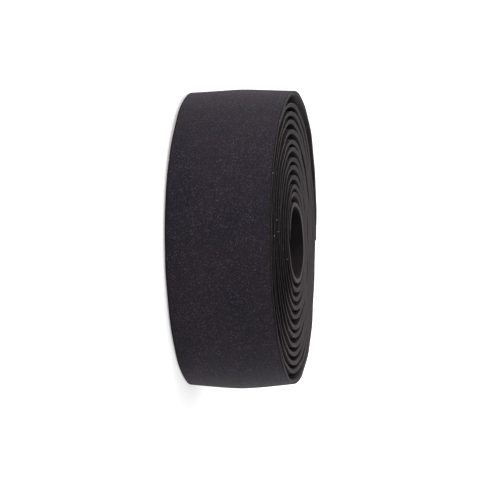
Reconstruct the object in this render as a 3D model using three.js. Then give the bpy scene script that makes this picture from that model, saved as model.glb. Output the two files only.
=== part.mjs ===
// A roll of foam handlebar tape: one long strip, wound up on itself into a coil.
// Millimetres, +Z up. The coil stands on one end with its axis along Z.
// The flat strip is extruded first, then each point of it is carried onto the spiral.

import * as THREE from "three";

// Driving dimensions of the flat strip
const tapeWidth = 30;
const tapeLength = 2090;
const tapeThickness = 2.5; // along the middle of the strip
const edgeThickness = 1.2; // at both long edges, which are thinner than the middle
const crownPower = 1.5; // 1 gives two straight tapers, 2 a round crown

// Driving dimensions of the coil
const coreRadius = 9; // from the axis to the back of the strip at its inner end
const windingGap = 0.12; // slack between one turn and the next
const freeEndAngle = Math.PI / 2; // the outer end lies on the +Y side
const flatTurns = 3; // outer turns that lie flush with each other at both ends
const coreRise = 1.05; // how far the core has slid up out of the flush turns
const coreLean = 0.35; // how much more it has slid on its high side than on the axis
const leanAngle = Math.PI / 6; // where that high side is, counted from +X
const lastTurnRise = 0.9; // how far the outermost turn climbs above the flush ones
const climbEnd = 0.13; // turns in from the free end where it has climbed there
const sinkStart = 0.2; // turns in where it starts to sink back
const sinkEnd = 0.86; // turns in where it is flush again
const endFlare = 1.2; // how far the long edges curl outwards at the free end
const flareTurns = 0.5; // share of a turn that the curl takes to fade out

// How finely the curves are cut into flats
const stepsPerTurn = 44;
const crownPoints = 7;

const fullTurn = 2 * Math.PI;
const pitch = tapeThickness + windingGap;

// The middle of the strip's thickness follows the spiral, so its length gives the turns:
// length = 2 pi * firstRadius * turns + pi * pitch * turns^2
const firstRadius = coreRadius + tapeThickness / 2;
const turns =
  (Math.sqrt(firstRadius ** 2 + (tapeLength * pitch) / Math.PI) - firstRadius) / pitch;
const totalAngle = turns * fullTurn;
const outerRadius = coreRadius + turns * pitch;

// 0 below the start, 1 past the end, and an even S between them
function easeBetween(value, start, end) {
  const share = THREE.MathUtils.clamp((value - start) / (end - start), 0, 1);
  return share * share * (3 - 2 * share);
}

// Thickness at a distance across from the middle of the strip
function thicknessAt(across) {
  const share = Math.abs(across) / (tapeWidth / 2);
  return edgeThickness + (tapeThickness - edgeThickness) * (1 - share ** crownPower);
}

// The strip's section: a flat back, two cut edges and a crowned face
function stripSection() {
  const section = new THREE.Shape();
  section.moveTo(-tapeWidth / 2, 0);
  section.lineTo(tapeWidth / 2, 0);
  for (let i = 0; i < crownPoints; i++) {
    const across = tapeWidth / 2 - (i * tapeWidth) / (crownPoints - 1);
    section.lineTo(across, thicknessAt(across));
  }
  return section;
}

// How far the strip has slid along the axis, at a number of turns in from the free end
function slideAt(turn, angle) {
  const climbed = easeBetween(turn, 0, climbEnd);
  const sunk = easeBetween(turn, sinkStart, sinkEnd);
  const last = lastTurnRise * climbed * (1 - sunk);
  const inward = Math.max(0, turn - flatTurns) / Math.max(turns - flatTurns, 1);
  return last + inward * (coreRise + coreLean * Math.cos(angle - leanAngle));
}

// How far the strip's long edges stand off the turn below
function flareAt(turn, across) {
  const share = across / (tapeWidth / 2);
  return endFlare * share ** 2 * (1 - easeBetween(turn, 0, flareTurns));
}

function woundTape() {
  const steps = Math.round(turns * stepsPerTurn);
  const geometry = new THREE.ExtrudeGeometry(stripSection(), {
    depth: steps,
    steps,
    bevelEnabled: false,
  });
  const points = geometry.getAttribute("position");
  for (let i = 0; i < points.count; i++) {
    const across = points.getX(i);
    const step = Math.round(points.getZ(i));
    const wound = step === steps ? totalAngle : (step * fullTurn) / stepsPerTurn;
    const turn = wound / fullTurn;
    const angle = freeEndAngle + wound;
    const back = outerRadius - turn * pitch;
    const radius = back + points.getY(i) + flareAt(turn, across);
    const height = tapeWidth / 2 + across + slideAt(turn, angle);
    points.setXYZ(i, radius * Math.cos(angle), radius * Math.sin(angle), height);
  }
  geometry.computeVertexNormals();
  return geometry;
}

const tapeMaterial = new THREE.MeshStandardMaterial({
  color: 0x2e2b30,
  roughness: 0.9,
  metalness: 0,
});

const barTape = new THREE.Mesh(woundTape(), tapeMaterial);
barTape.name = "bar_tape";

// The origin is under the middle of the coil's box, where its lower end stands
barTape.geometry.computeBoundingBox();
const boxCentre = barTape.geometry.boundingBox.getCenter(new THREE.Vector3());
barTape.position.set(-boxCentre.x, -boxCentre.y, 0);

const group = new THREE.Group();
group.add(barTape);

export default group;
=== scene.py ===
# %% [markdown]
# A roll of handlebar tape, dressed for its picture.
#
# The roll is one long strip of soft foam, wound up on itself and set down on one end. The solid
# model already has its turns, its crown and its open hole, but it is made of flats. This lesson
# winds the strip again with fine steps and rounds its cut edges. Then it gives each surface of
# the strip a finish of its own: the grained skin outside with painted glints, the skin between
# the turns in painted shade, the rubbed rim, the cut foam, the lip of the hole painted as a
# highlight, and the back, painted paler where it lies open to the light.

# %% Load the solid model
import math
import random

import bpy
import numpy as np
from mathutils import Matrix, Vector


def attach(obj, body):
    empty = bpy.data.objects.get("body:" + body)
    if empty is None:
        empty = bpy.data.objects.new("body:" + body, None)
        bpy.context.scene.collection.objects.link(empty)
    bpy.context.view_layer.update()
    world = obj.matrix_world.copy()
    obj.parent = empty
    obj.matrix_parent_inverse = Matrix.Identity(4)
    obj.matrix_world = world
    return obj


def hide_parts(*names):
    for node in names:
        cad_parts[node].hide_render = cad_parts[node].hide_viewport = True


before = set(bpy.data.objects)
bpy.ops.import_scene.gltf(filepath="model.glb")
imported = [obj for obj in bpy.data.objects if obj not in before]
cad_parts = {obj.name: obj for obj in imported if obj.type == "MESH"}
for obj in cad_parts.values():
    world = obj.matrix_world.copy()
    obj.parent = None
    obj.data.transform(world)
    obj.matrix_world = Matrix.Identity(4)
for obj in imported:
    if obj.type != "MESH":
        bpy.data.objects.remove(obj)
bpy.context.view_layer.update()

MM = 0.001
NODE = "bar_tape"
BODY = "root"
scene = bpy.context.scene


# %% [markdown]
# The photographer looked at the roll almost square on, from a little past its side, so that one
# end shows as a narrow ellipse. There the roll stood on its tread. Here it stands on its end, as
# it would on a shelf, so the camera is turned a quarter turn: up in the picture is -X, and right
# is +Z. It also leans by less than a degree, as a camera held by hand does.
#
# The camera could be placed by eye, but then every later comparison would be off by a few
# pixels. So the distance, the lens and the tilt were found by matching the edges of the
# ellipses, which a longer or shorter lens bends in another way.

# %% Where the camera looks
CAMERA_TILT = math.radians(10.02)
# The roll's axis at half the tape's width, and how far the line of sight passes beside it
ROLL_AXIS = Vector((0.655, -0.655, 15)) * MM
AIM_LEFT = 0.62 * MM
AIM_UP = 0.34 * MM

to_camera = Vector((0, -math.cos(CAMERA_TILT), math.sin(CAMERA_TILT)))
picture_right = Vector((0, math.sin(CAMERA_TILT), math.cos(CAMERA_TILT)))
picture_up = Vector((-1, 0, 0))
aim = ROLL_AXIS - AIM_LEFT * picture_right + AIM_UP * picture_up
print("line of sight passes", tuple(round(v, 5) for v in aim))

# %% Camera
CAMERA_LEAN = math.radians(0.74)
CAMERA_DISTANCE = 1183.2 * MM
SENSOR_WIDTH_MM = 36
# The lens as an angle: half the picture is 240 pixels, seen from 4120 pixels away
HALF_PICTURE = 240
PICTURE_DISTANCE = 4120
# The nearest and the furthest thing that is drawn, in metres
NEAREST_SEEN = 0.05
FURTHEST_SEEN = 20

camera_data = bpy.data.cameras.new("camera")
camera_data.sensor_width = SENSOR_WIDTH_MM
camera_data.angle = 2 * math.atan(HALF_PICTURE / PICTURE_DISTANCE)
camera_data.clip_start = NEAREST_SEEN
camera_data.clip_end = FURTHEST_SEEN
camera = bpy.data.objects.new("camera", camera_data)
scene.collection.objects.link(camera)

upright = Matrix((picture_right, picture_up, to_camera)).transposed()
leaning = upright @ Matrix.Rotation(-CAMERA_LEAN, 3, "Z")
place = Matrix.Translation(aim + to_camera * CAMERA_DISTANCE)
camera.matrix_world = place @ leaning.to_4x4()
scene.camera = camera
print("camera at", tuple(round(v, 3) for v in camera.location), "lens", round(camera_data.lens, 1))


# %% [markdown]
# Black foam on white paper is hard to light. The paper has to come out pure white, with no edge
# and hardly any shadow, while the foam stays dark and still shows its shape. Lamps strong enough
# to do the first would wash out the second. A photographer uses a table that is lit from
# inside. Here the floor glows a little by itself, the sky is an even white, and the lamps can
# stay weak.

# %% Floor
WHITE = (1, 1, 1)
# In metres, so wide that its edge is never seen
FLOOR_SIZE = 12
FLOOR_WHITE = 0.8
FLOOR_GLOW = 0.4


def white_floor_finish():
    material = bpy.data.materials.new("floor_white")
    material.use_nodes = True
    shader = material.node_tree.nodes["Principled BSDF"]
    shader.inputs["Base Color"].default_value = (FLOOR_WHITE, FLOOR_WHITE, FLOOR_WHITE, 1)
    shader.inputs["Roughness"].default_value = 1
    shader.inputs["Emission Color"].default_value = (*WHITE, 1)
    shader.inputs["Emission Strength"].default_value = FLOOR_GLOW
    return material


def make_floor():
    half = FLOOR_SIZE / 2
    corners = [(-half, -half, 0), (half, -half, 0), (half, half, 0), (-half, half, 0)]
    mesh = bpy.data.meshes.new("floor")
    mesh.from_pydata(corners, [], [(0, 1, 2, 3)])
    floor = bpy.data.objects.new("floor", mesh)
    scene.collection.objects.link(floor)
    floor.data.materials.append(white_floor_finish())
    return floor


floor = make_floor()
print("floor", FLOOR_SIZE, "m wide, glow", FLOOR_GLOW)

# %% Sky
SKY_STRENGTH = 0.6

world = bpy.data.worlds.new("sky")
world.use_nodes = True
sky = world.node_tree.nodes["Background"]
sky.inputs["Color"].default_value = (*WHITE, 1)
sky.inputs["Strength"].default_value = SKY_STRENGTH
scene.world = world
scene.view_settings.view_transform = "Standard"
print("sky strength", SKY_STRENGTH, "view", scene.view_settings.view_transform)


# %% [markdown]
# Six soft lamps draw the shape. A large one hangs over the roll, and a small one stands in
# front. On the picture's upper side a third shades the tread, from light at the top to dark in
# the middle, and a weak one on its lower side lifts the bottom edge. The last two stand behind,
# close to the table, and run a line of light along the rims and the cut edges. All of them are
# wide for their distance, because small lamps would draw hard shadows. Those at the sides and
# behind have a touch of rose, because the blacks in the picture are warm.

# %% Lamps
MIDDLE = (0, 0, 0.015)
BEHIND = (0, 0.1, 0)
ROSE = (1, 0.9, 0.93)
# For each lamp: its place, what it points at, its width and height, all in metres, then its
# power in watts and its colour
LAMPS = {
    "light_over": ((-0.45, 0.35, 1.6), BEHIND, 2.4, 2.4, 18.6, WHITE),
    "light_high": ((-0.1, -0.9, 1.0), MIDDLE, 0.8, 0.8, 1.5, WHITE),
    "light_upper": ((-1.1, -0.35, 0.42), MIDDLE, 0.9, 0.7, 8.4, ROSE),
    "light_lower": ((1.2, -0.1, 0.3), MIDDLE, 0.8, 0.5, 0.6, ROSE),
    "light_top_back": ((-0.9, 1.1, 0.35), MIDDLE, 0.6, 0.4, 3.1, ROSE),
    "light_low_back": ((0.9, 1.1, 0.25), MIDDLE, 0.6, 0.4, 4.7, ROSE),
}


def soft_light(name, place, target, width, height, power, colour):
    data = bpy.data.lights.new(name, "AREA")
    data.color = colour
    data.shape = "RECTANGLE"
    data.size = width
    data.size_y = height
    data.energy = power
    lamp = bpy.data.objects.new(name, data)
    scene.collection.objects.link(lamp)
    lamp.location = place
    lamp.rotation_euler = (Vector(target) - Vector(place)).to_track_quat("-Z", "Y").to_euler()


for name, settings in LAMPS.items():
    soft_light(name, *settings)


# %% [markdown]
# The strip is 30 mm wide and 2.5 mm thick along its middle, and it thins to 1.2 mm at both long
# edges, so that it overlaps neatly when it is wrapped round a bar. Its back is flat. One way to
# make the roll is to sweep a flat section along a spiral curve, but the section changes on the
# way: the edges curl out near the free end, the turns slide along the roll, and both ends are
# pressed thin. So the points are worked out from a formula instead, turn by turn, with the same
# sizes as the solid. All sizes from here on are in millimetres, and places along the strip are
# counted in turns from the free end.

# %% Sizes of the strip
TAPE_WIDTH = 30.0
TAPE_LENGTH = 2090.0
TAPE_THICKNESS = 2.5
EDGE_THICKNESS = 1.2
# The shape of the crown, between 1, a roof, and 2, an arch
CROWN_POWER = 1.5


def thickness_at(across):
    share = abs(across) / (TAPE_WIDTH / 2)
    return EDGE_THICKNESS + (TAPE_THICKNESS - EDGE_THICKNESS) * (1 - share**CROWN_POWER)


halfway_out = thickness_at(TAPE_WIDTH / 4)
print("strip is", thickness_at(0), "mm thick, and halfway out", round(halfway_out, 2))

# %% Sizes of the coil
CORE_RADIUS = 9.0
WINDING_GAP = 0.12
FREE_END_ANGLE = math.pi / 2

PITCH = TAPE_THICKNESS + WINDING_GAP
FIRST_RADIUS = CORE_RADIUS + TAPE_THICKNESS / 2
TURNS = (math.sqrt(FIRST_RADIUS**2 + TAPE_LENGTH * PITCH / math.pi) - FIRST_RADIUS) / PITCH
OUTER_RADIUS = CORE_RADIUS + TURNS * PITCH
print("turns", round(TURNS, 3), "pitch", PITCH, "outer radius", round(OUTER_RADIUS, 2))


# %% [markdown]
# A knife cut through soft foam isn't quite square. The skin outside is stretched round the roll
# and the back is squeezed, so the cut leans in: the skin's edge stands a little higher than the
# back's. That lean is small, but it decides what the end of the roll looks like. On the far side
# the cut faces lean towards the camera and show pale. On the near side they lean away, and only
# the dark skin shows. A bevel modifier could round the corners, but it would round both ends of
# the strip too, so each corner is drawn as a short curve.

# %% A rounded corner
CORNER_RADIUS = 0.16
CORNER_STEPS = 4


def rounded(before, corner, after):
    """The corner of an outline, rounded with a smooth curve that starts a radius away."""
    start = corner + (before - corner).normalized() * CORNER_RADIUS
    end = corner + (after - corner).normalized() * CORNER_RADIUS
    curve = []
    for i in range(CORNER_STEPS + 1):
        t = i / CORNER_STEPS
        curve.append(start * (1 - t) ** 2 + corner * 2 * t * (1 - t) + end * t**2)
    return curve


# %% Section of the strip
# How far the cut leans in, and how far from the edge the knife has pressed the face
CUT_LEAN = 0.24
PRESSED_EDGE = 0.5
BACK_INSET = 1.5 * CORNER_RADIUS
FACE_POINTS = 21
BACK_POINTS = 9


def strip_section():
    """Points (across, above the back) round the strip, each with the finish of the face after."""
    half = TAPE_WIDTH / 2
    inner = half - BACK_INSET
    pressed = half - PRESSED_EDGE
    back = [-inner + i * 2 * inner / (BACK_POINTS - 1) for i in range(1, BACK_POINTS - 1)]
    across = [pressed - i * 2 * pressed / (FACE_POINTS - 1) for i in range(FACE_POINTS)]
    face = [Vector((x, thickness_at(x))) for x in across]
    low_back = Vector((-half + CUT_LEAN, 0))
    high_back = Vector((half - CUT_LEAN, 0))
    high_face = Vector((half, thickness_at(half)))
    low_face = Vector((-half, thickness_at(half)))
    high_back_corner = rounded(low_back, high_back, high_face)
    high_face_corner = rounded(high_back, high_face, face[0])
    low_face_corner = rounded(face[-1], low_face, low_back)
    low_back_corner = rounded(low_face, low_back, high_back)
    runs = [
        ("back", [Vector((x, 0)) for x in back]),
        ("back", high_back_corner[:2]),
        ("cut", high_back_corner[2:]),
        ("rim", high_face_corner[:-1]),
        ("fresh", high_face_corner[-1:]),
        ("skin", face[:-1]),
        ("fresh", face[-1:]),
        ("rim", low_face_corner[:-1]),
        ("cut", low_face_corner[-1:]),
        ("back", low_back_corner),
    ]
    points = [point for finish, run in runs for point in run]
    finishes = [finish for finish, run in runs for point in run]
    return np.array(points), finishes


section, section_finish = strip_section()
print("section has", len(section), "points")


# %% [markdown]
# A roll of tape that has been handled isn't flat on top. The outermost turn climbs by almost a
# millimetre just after its free end and sinks back before it is covered. The inner turns have
# crept up out of the roll, a little more on one side than on the other. They could be pulled up
# by hand in sculpt mode, but a formula is easier to match to a picture, one number at a time.
# Every rise starts and ends softly, so one easing function serves them all.

# %% How far the turns slide along the axis
# The outer turns that have stayed flat, how far the core has crept up, and how much it leans
FLAT_TURNS = 3
CORE_RISE = 1.05
CORE_LEAN = 0.35
LEAN_ANGLE = math.pi / 6
# How far the outermost turn climbs, and where along the strip it ends its climb and sinks back
LAST_TURN_RISE = 0.9
CLIMB_END = 0.13
SINK_START = 0.2
SINK_END = 0.86


def ease_between(value, start, end):
    """0 before the start, 1 after the end, and a soft rise between them."""
    share = np.clip((value - start) / (end - start), 0, 1)
    return share * share * (3 - 2 * share)


def slide_at(turn, angle):
    climbed = ease_between(turn, 0, CLIMB_END)
    sunk = ease_between(turn, SINK_START, SINK_END)
    inward = np.maximum(0, turn - FLAT_TURNS) / (TURNS - FLAT_TURNS)
    rise = CORE_RISE + CORE_LEAN * np.cos(angle - LEAN_ANGLE)
    return LAST_TURN_RISE * climbed * (1 - sunk) + inward * rise


highest = float(slide_at(CLIMB_END, FREE_END_ANGLE))
print("outermost turn rises", round(highest, 2), "mm, the core about", CORE_RISE, "mm")


# %% [markdown]
# Nothing holds the free end down, so its long edges curl out from the turn below over half a
# turn. At the very end the curl is small, because the end itself lies against the roll. Both ends
# of the strip are pressed to half their thickness over less than a centimetre. Without that, a
# full step would show in the roll's outline and in the hole. Each change is a share that fades
# along the strip, so the section itself never has to be drawn again.

# %% The free end and the core end
# How far the edges curl out, over how many turns, and the share of it at the very end
END_FLARE = 1.2
FLARE_TURNS = 0.5
END_HOLD = 0.1
# The share of the thickness that is pressed away, and over how many turns at each end
PRESSED_THIN = 0.5
FREE_END_PRESS = 0.035
CORE_END_PRESS = 0.07


def flare_fade(turn):
    """How much of the flare is left: little at the very end, and none after half a turn."""
    held = END_HOLD + (1 - END_HOLD) * ease_between(turn, 0, CLIMB_END)
    return (1 - ease_between(turn, 0, FLARE_TURNS)) * held


def flare_at(turn, share):
    return END_FLARE * share**2 * flare_fade(turn)


def flare_slope_at(turn, share):
    return 2 * END_FLARE * share * flare_fade(turn) / (TAPE_WIDTH / 2)


def pressed_outside(turn):
    """The share of its thickness that the strip loses at its free end."""
    return PRESSED_THIN * (1 - ease_between(turn, 0, FREE_END_PRESS))


def pressed_at_core(turn):
    """The share of its thickness that the strip loses at its core end."""
    return PRESSED_THIN * ease_between(turn, TURNS - CORE_END_PRESS, TURNS)


print("flare is", round(float(flare_at(CLIMB_END, 1)), 2), "mm where the outer turn stands highest")


# %% [markdown]
# Nothing soft winds up perfectly. The edges wander by a tenth of a millimetre or two, they curl
# a little more here than there, and the turns press on each other unevenly. Sums of a few sine
# waves with seeded phases give that wander: they are smooth, they never repeat round the roll,
# and they come out the same each time. A displace modifier with a noise could do it too, but it
# would push both faces of the strip out of shape, and here only the edges wander.

# %% Small wanderings along the strip
WAVE_SEED = 1369
# How far each wander goes
EDGE_WANDER = 0.12
CURL_WANDER = 0.22
SLACK_WANDER = 0.02


def wander(chance, longest, shortest, count):
    """A smooth function of the length along the strip, mostly between -1 and 1."""
    waves = []
    for i in range(count):
        length = longest * (shortest / longest) ** (i / (count - 1))
        waves.append((2 * math.pi / length, chance.uniform(0, 2 * math.pi)))

    def value(along):
        total = sum(np.sin(rate * along + phase) for rate, phase in waves)
        return total / count**0.5

    return value


chance = random.Random(WAVE_SEED)
low_edge_wander = wander(chance, longest=400, shortest=17, count=7)
high_edge_wander = wander(chance, longest=400, shortest=13, count=7)
curl_wander = wander(chance, longest=500, shortest=60, count=5)
slack_wander = wander(chance, longest=300, shortest=40, count=5)

places = np.linspace(0, TAPE_LENGTH, round(TAPE_LENGTH))
widest = EDGE_WANDER * float(np.abs(high_edge_wander(places)).max())
print("upper edge wanders by up to", round(widest, 2), "mm")


# %% [markdown]
# Three places need a touch that no wander gives. The upper edge sags by a third of a millimetre
# just before it slips under the free end. At the bottom of the picture the second turn is nipped
# in, which leaves a wide dark gap under the first. And the cut round the hole is worn square, so
# its lip catches the light. Last, the winding gap is squeezed shut at the crown of the inner
# turns: soft faces that lie on each other leave no slit to see the table through.

# %% Touches in single places
# How deep each touch goes, where along the strip it is, and how many turns it reaches
SAG = 0.35
SAG_PLACE = 0.95
SAG_REACH = 0.065
NIP = 0.4
NIP_PLACE = 1.75
NIP_REACH = 0.13
SQUEEZED_GAP = 0.07
SQUEEZE_START = 1
SQUEEZE_FULL = 1.1
# The lip's squaring starts and is full at these places, in turns before the core end
LIP_START = 1.2
LIP_FULL = 0.9
LIP_SQUARING = 0.9
LIP_SHARPNESS = 20


def swell(turn, place, reach):
    """1 at a place along the strip, eased away to 0 a reach before and after it."""
    return ease_between(turn, place - reach, place) * (1 - ease_between(turn, place, place + reach))


def squared_lip(turn, share, above_back):
    """How far the back's edge is drawn up towards the skin's edge round the hole."""
    lip = ease_between(turn, TURNS - LIP_START, TURNS - LIP_FULL) * LIP_SQUARING * CUT_LEAN
    near_edge = np.clip(share, 0, 1) ** LIP_SHARPNESS
    near_back = np.clip(1 - above_back / EDGE_THICKNESS, 0, 1)
    return lip * near_edge * near_back


print("lip is squared by", round(LIP_SQUARING * CUT_LEAN, 3), "mm")


# %% [markdown]
# Now the strip can be wound. Each ring is the section, set up at one place along the spiral:
# its points go outwards by their height above the back and upwards by their place across the
# width. A loop could place them one by one, but there are ninety thousand of them. Arrays work on
# all the rings at once, which is faster and keeps each formula on one line.

# %% How far out and how high each point lies
EDGE_POWER = 4


def toward_upper_edge(share):
    return np.clip(share, 0, 1) ** EDGE_POWER


def toward_lower_edge(share):
    return np.clip(-share, 0, 1) ** EDGE_POWER


def radius_of(turn, back, along, share, above_back):
    flare = flare_at(turn, share)
    lifted = pressed_at_core(turn) * TAPE_THICKNESS
    curl = CURL_WANDER * curl_wander(along) * share**EDGE_POWER
    squeeze = SQUEEZED_GAP * (1 - share**2) * ease_between(turn, SQUEEZE_START, SQUEEZE_FULL)
    slack = squeeze + SLACK_WANDER * slack_wander(along)
    nipped = NIP * swell(turn, NIP_PLACE, NIP_REACH) * toward_upper_edge(share)
    radius = back + lifted + above_back + flare + curl
    return radius + slack * above_back / TAPE_THICKNESS - nipped


def height_of(turn, angle, along, across, share, above_back):
    slope = flare_slope_at(turn, share)
    low = EDGE_WANDER * low_edge_wander(along) * toward_lower_edge(share)
    high = EDGE_WANDER * high_edge_wander(along) * toward_upper_edge(share)
    high = high - SAG * swell(turn, SAG_PLACE, SAG_REACH) * toward_upper_edge(share)
    squared = squared_lip(turn, share, above_back)
    height = TAPE_WIDTH / 2 + across + squared - slope * above_back + slide_at(turn, angle)
    # The roll stands on the table, so no point lies under it
    return np.maximum(height + low + high, 0)


# %% Place the points
STEPS_PER_TURN = 150


def wound_points():
    """The strip's points, ring by ring from the free end in, in the solid's own place."""
    steps = round(TURNS * STEPS_PER_TURN)
    turn = np.linspace(0, TURNS, steps + 1)[:, None]
    angle = FREE_END_ANGLE + 2 * math.pi * turn
    back = OUTER_RADIUS - turn * PITCH
    along = 2 * math.pi * turn * (OUTER_RADIUS + back) / 2
    across, above_back = section[:, 0][None, :], section[:, 1][None, :]
    share = across / (TAPE_WIDTH / 2)
    above_back = above_back * (1 - pressed_outside(turn) - pressed_at_core(turn))
    radius = radius_of(turn, back, along, share, above_back)
    x = radius * np.cos(angle) + ROLL_AXIS.x / MM
    y = radius * np.sin(angle) + ROLL_AXIS.y / MM
    z = height_of(turn, angle, along, across, share, above_back)
    return np.stack([x, y, z], axis=2) * MM


rings = wound_points()
print("rings", rings.shape[0], "of", rings.shape[1], "points")


# %% [markdown]
# The rings are joined with quads, and a flat face closes each end. Which finish a face takes
# follows from its place in the section and from its turn. Only the outermost turn lies open, so
# only its face takes the painted glints and its back the painted light. Between the turns the
# skin takes the painted shade. Round the hole the cut edge takes the painted highlight.
# Painting this by hand would be lost whenever a size changes, so it is told by rule.

# %% Join the points
def strip_faces(rings, count):
    """Quads between neighbouring rings, with one flat face on each end of the strip."""
    ring = np.arange(rings - 1)[:, None] * count
    here = ring + np.arange(count)[None, :]
    there = ring + (np.arange(count)[None, :] + 1) % count
    quads = np.stack([here, there, there + count, here + count], axis=2)
    faces = quads.reshape(-1, 4).tolist()
    faces.append(list(range(count - 1, -1, -1)))
    faces.append([(rings - 1) * count + i for i in range(count)])
    return faces


faces = strip_faces(len(rings), len(section))
print("faces", len(faces))

# %% Make the tape
# Painted light and shade by turn: the lit back outside, the skin in shade, the lip's highlight
FINISHES = ["skin", "fresh", "rim", "cut", "back", "lit_back", "lip"]
OUTERMOST = {"back": "lit_back"}
BETWEEN = {"skin": "fresh"}
INNERMOST = {"skin": "fresh", "cut": "lip"}


def finish_numbers(changed):
    """The finish number of every face in one ring, with some finishes changed for others."""
    return [FINISHES.index(changed.get(finish, finish)) for finish in section_finish]


def make_tape():
    mesh = bpy.data.meshes.new("wound_tape")
    mesh.from_pydata(rings.reshape(-1, 3).tolist(), [], faces)
    rings_between = len(rings) - 1 - 2 * STEPS_PER_TURN
    numbers = finish_numbers(OUTERMOST) * STEPS_PER_TURN
    numbers += finish_numbers(BETWEEN) * rings_between
    numbers += finish_numbers(INNERMOST) * STEPS_PER_TURN
    numbers += [FINISHES.index("cut")] * 2
    mesh.polygons.foreach_set("material_index", numbers)
    mesh.update()
    mesh.shade_smooth()
    tape = bpy.data.objects.new("wound_tape", mesh)
    scene.collection.objects.link(tape)
    return tape


tape = make_tape()
triangles = sum(len(p.vertices) - 2 for p in tape.data.polygons)
print("wound tape has", len(tape.data.vertices), "points and", triangles, "triangles")


# %% [markdown]
# All the finishes are mixed from the same few things: noise of a stated size, a range stretched
# to its full contrast, a blend of two colours, and a bump. Picture textures could do it, but
# they would need unwrapping, and close up they would show their pixels. Noise in the object's
# own space needs neither, and it runs on over every turn. Small helpers with plain names keep
# each finish readable.

# %% Noise and contrast
# The middle of the noise's range, stretched to full contrast: the narrower, the harder its edges
SOFT = (0.3, 0.7)
CLEAR = (0.35, 0.65)
SHARP = (0.4, 0.6)


def node(tree, kind, **settings):
    made = tree.nodes.new(kind)
    for key, value in settings.items():
        setattr(made, key, value)
    return made


def noise(tree, place, size, detail, roughness=0.5):
    """Noise whose blobs are about the given size across, in millimetres."""
    made = node(tree, "ShaderNodeTexNoise")
    made.inputs["Scale"].default_value = 1 / (size * MM)
    made.inputs["Detail"].default_value = detail
    made.inputs["Roughness"].default_value = roughness
    tree.links.new(place, made.inputs["Vector"])
    return made.outputs["Fac"]


def stretched(tree, value, low, high, to_low=0.0, to_high=1.0):
    """The value carried from one range to another, and held at its ends."""
    made = node(tree, "ShaderNodeMapRange")
    ranges = {"From Min": low, "From Max": high, "To Min": to_low, "To Max": to_high}
    for name, number in ranges.items():
        made.inputs[name].default_value = number
    tree.links.new(value, made.inputs["Value"])
    return made.outputs["Result"]


# %% Blends and bumps
def times(tree, first, second):
    made = node(tree, "ShaderNodeMath", operation="MULTIPLY")
    tree.links.new(first, made.inputs[0])
    tree.links.new(second, made.inputs[1])
    return made.outputs["Value"]


def blended(tree, share, first, second):
    """Two colours mixed. The share is a socket or a number, each colour a socket or a colour."""
    made = node(tree, "ShaderNodeMix", data_type="RGBA")
    if isinstance(share, float):
        made.inputs["Factor"].default_value = share
    else:
        tree.links.new(share, made.inputs["Factor"])
    for socket, colour in ((made.inputs["A"], first), (made.inputs["B"], second)):
        if isinstance(colour, tuple):
            socket.default_value = (*colour, 1)
        else:
            tree.links.new(colour, socket)
    return made.outputs["Result"]


def bumped(tree, height, depth, below=None):
    """A bump of the given depth in millimetres, on top of another bump if there is one."""
    made = node(tree, "ShaderNodeBump")
    made.inputs["Distance"].default_value = depth * MM
    tree.links.new(height, made.inputs["Height"])
    if below is not None:
        tree.links.new(below, made.inputs["Normal"])
    return made.outputs["Normal"]


# %% A new finish
def new_finish(name, roughness, specular):
    material = bpy.data.materials.new(name)
    material.use_nodes = True
    tree = material.node_tree
    shader = tree.nodes["Principled BSDF"]
    shader.inputs["Roughness"].default_value = roughness
    shader.inputs["Specular IOR Level"].default_value = specular
    place = node(tree, "ShaderNodeTexCoord").outputs["Object"]
    return material, tree, shader, place


# %% [markdown]
# The skin is a thin grained film on the foam. Seen close it is a field of tiny pebbles, each
# about a third of a millimetre across. The glint on their tops is painted in as pale specks,
# in a blue that turns to rose here and there. Pebbles made of mesh would need millions of
# faces, so they are one noise, used twice: its peaks take the painted glint, and its height
# makes the bump. A broad noise drifts the tint, and a middle one thins the glints in places.

# %% Grained skin, on the outside of the roll
SKIN_ROUGHNESS = 0.82
SKIN_SPECULAR = 0.2
TINT_SIZE = 16
THIN_PATCH_SIZE = 3
THINNED_SPECKLE = 0.6
PEBBLE_SIZE = 0.3
PEBBLE_DEPTH = 0.12
GLINT_TOPS = (0.53, 0.66)
FILM_GRAIN = 0.2
FILM_DEPTH = 0.04
SKIN_DARK = (0.0066, 0.0048, 0.0098)
SKIN_MID = (0.0098, 0.0069, 0.0120)
# Painted glints: the pale colours that the pebble tops take where the grain catches the light
GLINT_BLUE = (0.057, 0.0518, 0.0695)
GLINT_ROSE = (0.0635, 0.0515, 0.0665)


def skin_finish():
    material, tree, shader, place = new_finish("grained_skin", SKIN_ROUGHNESS, SKIN_SPECULAR)
    tint = stretched(tree, noise(tree, place, TINT_SIZE, detail=3), *SHARP)
    patches = noise(tree, place, THIN_PATCH_SIZE, detail=2)
    pebbles = noise(tree, place, PEBBLE_SIZE, detail=3, roughness=0.65)
    fine = noise(tree, place, FILM_GRAIN, detail=1)
    ground = blended(tree, tint, SKIN_DARK, SKIN_MID)
    glint = blended(tree, tint, GLINT_BLUE, GLINT_ROSE)
    glinting_tops = stretched(tree, pebbles, *GLINT_TOPS)
    dense = stretched(tree, patches, *CLEAR, to_low=THINNED_SPECKLE)
    colour = blended(tree, times(tree, glinting_tops, dense), ground, glint)
    tree.links.new(colour, shader.inputs["Base Color"])
    grain = bumped(tree, pebbles, PEBBLE_DEPTH)
    tree.links.new(bumped(tree, fine, FILM_DEPTH, grain), shader.inputs["Normal"])
    return material


skin = skin_finish()
print(skin.name, "has pebbles of", PEBBLE_SIZE, "mm and", len(skin.node_tree.nodes), "nodes")


# %% [markdown]
# A few pale specks of dust lie between the turns and on the rims. They are small and far apart.
# Placing them by hand would take an object for each. Cells do it in one node: every cell has one
# centre, and only what lies very close to that centre is dust.

# %% Dust
DUST_SPACING = 2.4
DUST_SIZE = 0.22
DUST_EDGE = 0.6
DUST = (0.22, 0.21, 0.21)


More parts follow.
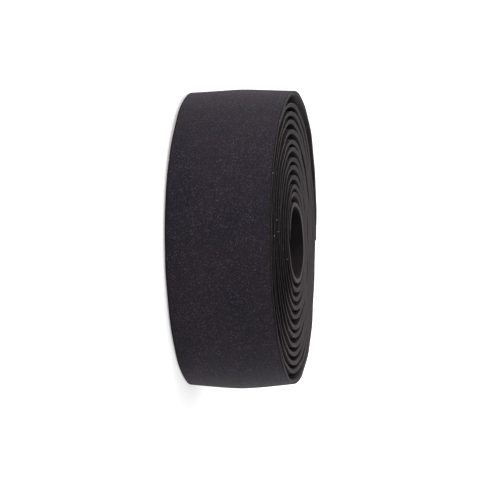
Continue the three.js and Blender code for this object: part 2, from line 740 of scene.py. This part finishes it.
def dust(tree, place):
    """1 inside the specks and 0 between them."""
    made = node(tree, "ShaderNodeTexVoronoi")
    made.inputs["Scale"].default_value = 1 / (DUST_SPACING * MM)
    tree.links.new(place, made.inputs["Vector"])
    size = DUST_SIZE / DUST_SPACING
    return stretched(tree, made.outputs["Distance"], size, size * DUST_EDGE)


print("dust specks of", DUST_SIZE, "mm, about", DUST_SPACING, "mm apart")


# %% [markdown]
# Between the turns the same film lies in shade. There its colour is painted shade: darker and
# smoother, with none of the painted glints, so the gaps between the turns read as black lines.
# The outside finish could serve here with its speckle turned down, but a finish of its own is
# shorter to write and quicker to render.

# %% Skin in painted shade, between the turns
SHADED_SKIN_ROUGHNESS = 0.8
SHADED_SKIN_SPECULAR = 0.1
SHADED_SKIN_CLOUD_SIZE = 5
# Painted shade: the skin's colours where it lies between the turns
SHADED_SKIN_DARK = (0.0068, 0.0055, 0.0068)
SHADED_SKIN_MID = (0.0108, 0.0088, 0.0106)


def shaded_skin_finish():
    material, tree, shader, place = new_finish("painted_shade_skin", SHADED_SKIN_ROUGHNESS, SHADED_SKIN_SPECULAR)
    clouds = stretched(tree, noise(tree, place, SHADED_SKIN_CLOUD_SIZE, detail=2), *SOFT)
    fine = noise(tree, place, FILM_GRAIN, detail=1)
    ground = blended(tree, clouds, SHADED_SKIN_DARK, SHADED_SKIN_MID)
    colour = blended(tree, dust(tree, place), ground, DUST)
    tree.links.new(colour, shader.inputs["Base Color"])
    tree.links.new(bumped(tree, fine, FILM_DEPTH), shader.inputs["Normal"])
    return material


fresh = shaded_skin_finish()
print(fresh.name, "has", len(fresh.node_tree.nodes), "nodes")


# %% [markdown]
# Along the rim the film bends over the cut edge, and every touch rubs it there. So it is a
# little shinier and, in stretches of a millimetre or two, paler. A node can look for sharp
# edges and pale them, but the section already knows where its corners are. One noise between
# two colours is then enough for a line this thin.

# %% Rubbed rim
RIM_ROUGHNESS = 0.65
RIM_SPECULAR = 0.2
RUB_SIZE = 1.6
RIM_DARK = (0.0092, 0.0076, 0.0080)
RIM_PALE = (0.0225, 0.0198, 0.0205)


def rim_finish():
    material, tree, shader, place = new_finish("rubbed_rim", RIM_ROUGHNESS, RIM_SPECULAR)
    rubs = stretched(tree, noise(tree, place, RUB_SIZE, detail=3), *CLEAR)
    rubbed = blended(tree, rubs, RIM_DARK, RIM_PALE)
    colour = blended(tree, dust(tree, place), rubbed, DUST)
    tree.links.new(colour, shader.inputs["Base Color"])
    return material


rim = rim_finish()
print(rim.name, "has rubs of", RUB_SIZE, "mm and", len(rim.node_tree.nodes), "nodes")


# %% [markdown]
# Where the knife went through, the foam's cells lie open. They scatter the light, so the cut is
# the palest part of the strip and fully matt. The cells are about a fifth of a millimetre, too
# small to model, so they are a fine noise in the colour and in the bump, with broad clouds mixed
# in. The lip of the hole is the same foam in a paler grey, a painted highlight where the lip
# catches the light.

# %% Cut foam, and the lip of the hole
FOAM_ROUGHNESS = 0.95
FOAM_SPECULAR = 0.15
CELL_SIZE = 0.22
CELL_DEPTH = 0.1
FOAM_CLOUD_SIZE = 6
CLOUD_SHARE = 0.4
FOAM_DARK = (0.0262, 0.0228, 0.0254)
FOAM_PALE = (0.0500, 0.0446, 0.0488)
# Painted highlight: the paler foam colours of the lip round the hole
LIP_HIGHLIGHT_DARK = (0.044, 0.0395, 0.043)
LIP_HIGHLIGHT_PALE = (0.080, 0.073, 0.078)


def foam_finish(name, dark, pale):
    material, tree, shader, place = new_finish(name, FOAM_ROUGHNESS, FOAM_SPECULAR)
    cells = noise(tree, place, CELL_SIZE, detail=2)
    clouds = noise(tree, place, FOAM_CLOUD_SIZE, detail=2)
    open_cells = blended(tree, stretched(tree, cells, *CLEAR), dark, pale)
    cloudy = blended(tree, stretched(tree, clouds, *SOFT), dark, pale)
    colour = blended(tree, CLOUD_SHARE, open_cells, cloudy)
    tree.links.new(colour, shader.inputs["Base Color"])
    tree.links.new(bumped(tree, cells, CELL_DEPTH), shader.inputs["Normal"])
    return material


cut = foam_finish("cut_foam", FOAM_DARK, FOAM_PALE)
lip = foam_finish("painted_highlight_lip", LIP_HIGHLIGHT_DARK, LIP_HIGHLIGHT_PALE)
print(cut.name, "and", lip.name, "have cells of", CELL_SIZE, "mm")


# %% [markdown]
# The back was pressed flat while the foam set, so its cells are closed and it is smooth and
# dark. It shows inside the hole and behind the edge that stands out near the free end. There it
# lies open to the light, and a paler, greyer copy of the back paints that light in. A plain
# colour would make it look like hard plastic, so it has soft clouds and a very shallow grain.

# %% Backs
BACK_ROUGHNESS = 0.8
BACK_SPECULAR = 0.12
BACK_CLOUD_SIZE = 4
BACK_GRAIN = 0.3
BACK_DEPTH = 0.03
BACK_DARK = (0.0092, 0.0075, 0.0080)
BACK_PALE = (0.0158, 0.0130, 0.0138)
# Painted light: the paler, greyer back of the outermost turn, where it lies open
LIT_BACK_DARK = (0.024, 0.0225, 0.0228)
LIT_BACK_PALE = (0.036, 0.0340, 0.0345)


def back_finish(name, dark, pale):
    material, tree, shader, place = new_finish(name, BACK_ROUGHNESS, BACK_SPECULAR)
    clouds = stretched(tree, noise(tree, place, BACK_CLOUD_SIZE, detail=3), *CLEAR)
    fine = noise(tree, place, BACK_GRAIN, detail=2)
    tree.links.new(blended(tree, clouds, dark, pale), shader.inputs["Base Color"])
    tree.links.new(bumped(tree, fine, BACK_DEPTH), shader.inputs["Normal"])
    return material


back = back_finish("plain_back", BACK_DARK, BACK_PALE)
lit_back = back_finish("painted_light_back", LIT_BACK_DARK, LIT_BACK_PALE)
print(back.name, "and", lit_back.name, "have clouds of", BACK_CLOUD_SIZE, "mm")


# %% [markdown]
# Every face already carries the number of its finish. A list of materials on the strip, in the
# same order, is all that is left to do. The names are matched one by one here, so that a finish
# can be added to the list above without its number being looked up.

# %% Put the finishes on the strip
finish_of = dict(skin=skin, fresh=fresh, rim=rim, cut=cut, back=back, lit_back=lit_back, lip=lip)
for finish in FINISHES:
    tape.data.materials.append(finish_of[finish])
print("finishes:", [m.name for m in tape.data.materials])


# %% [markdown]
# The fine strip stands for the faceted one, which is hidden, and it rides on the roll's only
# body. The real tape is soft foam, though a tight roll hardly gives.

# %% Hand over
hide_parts(NODE)
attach(tape, BODY)

bpy.context.view_layer.update()
